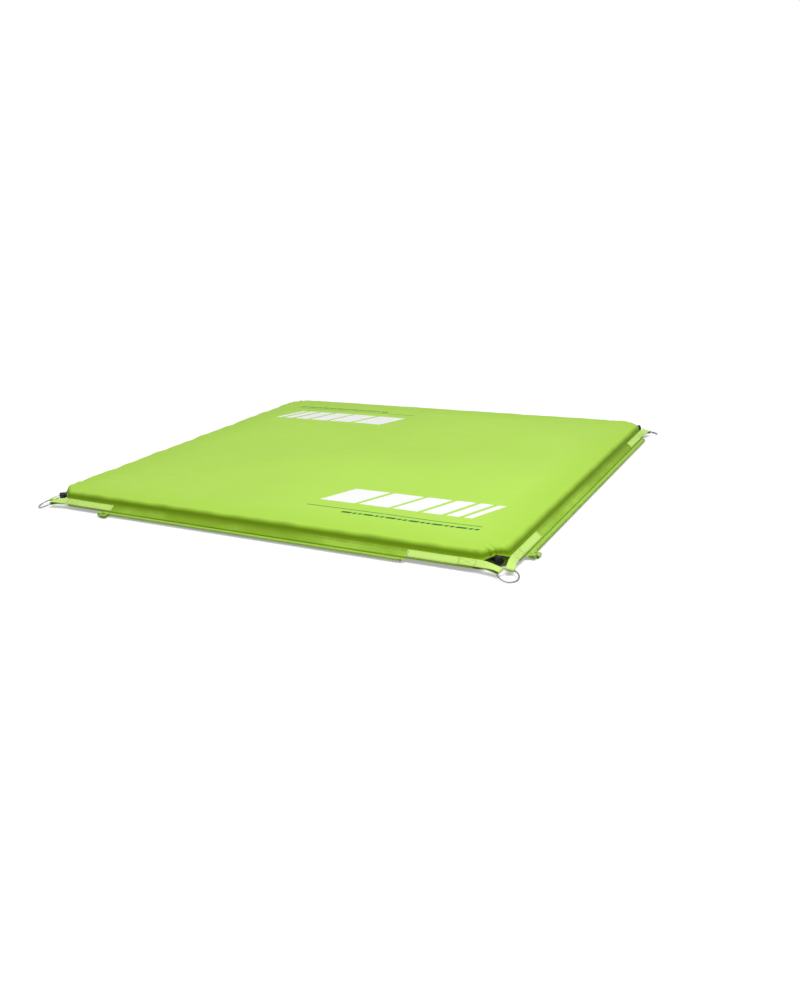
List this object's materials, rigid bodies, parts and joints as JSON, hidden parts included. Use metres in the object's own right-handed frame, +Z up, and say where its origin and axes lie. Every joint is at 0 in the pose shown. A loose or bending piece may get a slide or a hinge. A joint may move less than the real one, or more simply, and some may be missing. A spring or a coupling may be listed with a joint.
{
  "type": "foam floating mat",
  "caption": "Square foam floating mat with a welded edge flange, zip halves to join more mats, webbing straps, steel corner rings and twist valves.",
  "frame": {"origin": "middle of the flat underside, where the mat rests on the ground", "axes": "+Z up through the pad, +X to the right along the front edge, -Y towards the front edge; the front edge and the right edge carry the sliders"},
  "size_m": [1.5302, 1.5302, 0.052],
  "materials": {
    "cover_fabric": "satin",
    "webbing": "matte",
    "zip_plastic": "satin",
    "slider_metal": "satin",
    "foam": "matte",
    "steel": "polished",
    "valve_plastic": "gloss",
    "seal_rubber": "matte"
  },
  "bodies": {
    "mat": {"bottom_cover": "cover_fabric", "foam_core": "foam", "insertion_pin_back": "zip_plastic", "insertion_pin_left": "zip_plastic", "retainer_box_front": "zip_plastic", "retainer_box_right": "zip_plastic", "strap_back_left": "webbing", "strap_back_right": "webbing", "strap_front_left": "webbing", "strap_front_right": "webbing", "strap_left_back": "webbing", "strap_left_front": "webbing", "strap_right_back": "webbing", "strap_right_front": "webbing", "top_cover": "cover_fabric", "top_stop_back": "zip_plastic", "top_stop_front": "zip_plastic", "top_stop_left": "zip_plastic", "top_stop_right": "zip_plastic", "valve_body_back_left": "valve_plastic", "valve_body_back_right": "valve_plastic", "valve_body_front_left": "valve_plastic", "valve_body_front_right": "valve_plastic", "zip_half_back": "zip_plastic", "zip_half_front": "zip_plastic", "zip_half_left": "zip_plastic", "zip_half_right": "zip_plastic"},
    "slider_front": {"slider_front": "slider_metal"},
    "pull_tab_front": {"pull_tab_front": "slider_metal"},
    "slider_right": {"slider_right": "slider_metal"},
    "pull_tab_right": {"pull_tab_right": "slider_metal"},
    "corner_ring_front_right": {"corner_ring_front_right": "steel"},
    "valve_seal_front_right": {"valve_seal_front_right": "seal_rubber"},
    "valve_knob_front_right": {"valve_knob_front_right": "valve_plastic"},
    "corner_ring_back_right": {"corner_ring_back_right": "steel"},
    "valve_seal_back_right": {"valve_seal_back_right": "seal_rubber"},
    "valve_knob_back_right": {"valve_knob_back_right": "valve_plastic"},
    "corner_ring_back_left": {"corner_ring_back_left": "steel"},
    "valve_seal_back_left": {"valve_seal_back_left": "seal_rubber"},
    "valve_knob_back_left": {"valve_knob_back_left": "valve_plastic"},
    "corner_ring_front_left": {"corner_ring_front_left": "steel"},
    "valve_seal_front_left": {"valve_seal_front_left": "seal_rubber"},
    "valve_knob_front_left": {"valve_knob_front_left": "valve_plastic"}
  },
  "joints": [
    {"name": "slider_travel_front", "type": "slide", "parent": "mat", "child": "slider_front", "axis": [1, 0, 0], "range_m": [0, 0.93988]},
    {"name": "pull_swing_front", "type": "hinge", "parent": "slider_front", "child": "pull_tab_front", "pos_m": [-0.48744, -0.75314, 0.01305], "axis": [0, 0.9848, 0.1736], "range_deg": [0, 170]},
    {"name": "slider_travel_right", "type": "slide", "parent": "mat", "child": "slider_right", "axis": [0, 1, 0], "range_m": [0, 1.18288]},
    {"name": "pull_swing_right", "type": "hinge", "parent": "slider_right", "child": "pull_tab_right", "pos_m": [0.75314, -0.58044, 0.01305], "axis": [-0.9848, 0, 0.1736], "range_deg": [0, 170]},
    {"name": "ring_swing_front_right", "type": "hinge", "parent": "mat", "child": "corner_ring_front_right", "pos_m": [0.72489, -0.72489, 0.0156], "axis": [-0.7071, -0.7071, 0], "range_deg": [-55, 95], "deforming": ["strap_front_right", "strap_right_front"]},
    {"name": "valve_lift_front_right", "type": "slide", "parent": "mat", "child": "valve_seal_front_right", "axis": [0.7071, -0.7071, 0], "range_m": [0, 0.003]},
    {"name": "valve_turn_front_right", "type": "hinge", "parent": "valve_seal_front_right", "child": "valve_knob_front_right", "pos_m": [0.70297, -0.70297, 0.028], "axis": [0.7071, -0.7071, 0], "range_deg": [0, 360]},
    {"name": "ring_swing_back_right", "type": "hinge", "parent": "mat", "child": "corner_ring_back_right", "pos_m": [0.72489, 0.72489, 0.0156], "axis": [0.7071, -0.7071, 0], "range_deg": [-55, 95], "deforming": ["strap_right_back", "strap_back_right"]},
    {"name": "valve_lift_back_right", "type": "slide", "parent": "mat", "child": "valve_seal_back_right", "axis": [0.7071, 0.7071, 0], "range_m": [0, 0.003]},
    {"name": "valve_turn_back_right", "type": "hinge", "parent": "valve_seal_back_right", "child": "valve_knob_back_right", "pos_m": [0.70297, 0.70297, 0.028], "axis": [0.7071, 0.7071, 0], "range_deg": [0, 360]},
    {"name": "ring_swing_back_left", "type": "hinge", "parent": "mat", "child": "corner_ring_back_left", "pos_m": [-0.72489, 0.72489, 0.0156], "axis": [0.7071, 0.7071, 0], "range_deg": [-55, 95], "deforming": ["strap_back_left", "strap_left_back"]},
    {"name": "valve_lift_back_left", "type": "slide", "parent": "mat", "child": "valve_seal_back_left", "axis": [-0.7071, 0.7071, 0], "range_m": [0, 0.003]},
    {"name": "valve_turn_back_left", "type": "hinge", "parent": "valve_seal_back_left", "child": "valve_knob_back_left", "pos_m": [-0.70297, 0.70297, 0.028], "axis": [-0.7071, 0.7071, 0], "range_deg": [0, 360]},
    {"name": "ring_swing_front_left", "type": "hinge", "parent": "mat", "child": "corner_ring_front_left", "pos_m": [-0.72489, -0.72489, 0.0156], "axis": [-0.7071, 0.7071, 0], "range_deg": [-55, 95], "deforming": ["strap_left_front", "strap_front_left"]},
    {"name": "valve_lift_front_left", "type": "slide", "parent": "mat", "child": "valve_seal_front_left", "axis": [-0.7071, -0.7071, 0], "range_m": [0, 0.003]},
    {"name": "valve_turn_front_left", "type": "hinge", "parent": "valve_seal_front_left", "child": "valve_knob_front_left", "pos_m": [-0.70297, -0.70297, 0.028], "axis": [-0.7071, -0.7071, 0], "range_deg": [0, 360]}
  ],
  "couplings": [
    {"joint": "valve_turn_front_right", "follows": "valve_lift_front_right", "rad_per_m": 2094.4},
    {"joint": "valve_turn_back_right", "follows": "valve_lift_back_right", "rad_per_m": 2094.4},
    {"joint": "valve_turn_back_left", "follows": "valve_lift_back_left", "rad_per_m": 2094.4},
    {"joint": "valve_turn_front_left", "follows": "valve_lift_front_left", "rad_per_m": 2094.4}
  ]
}
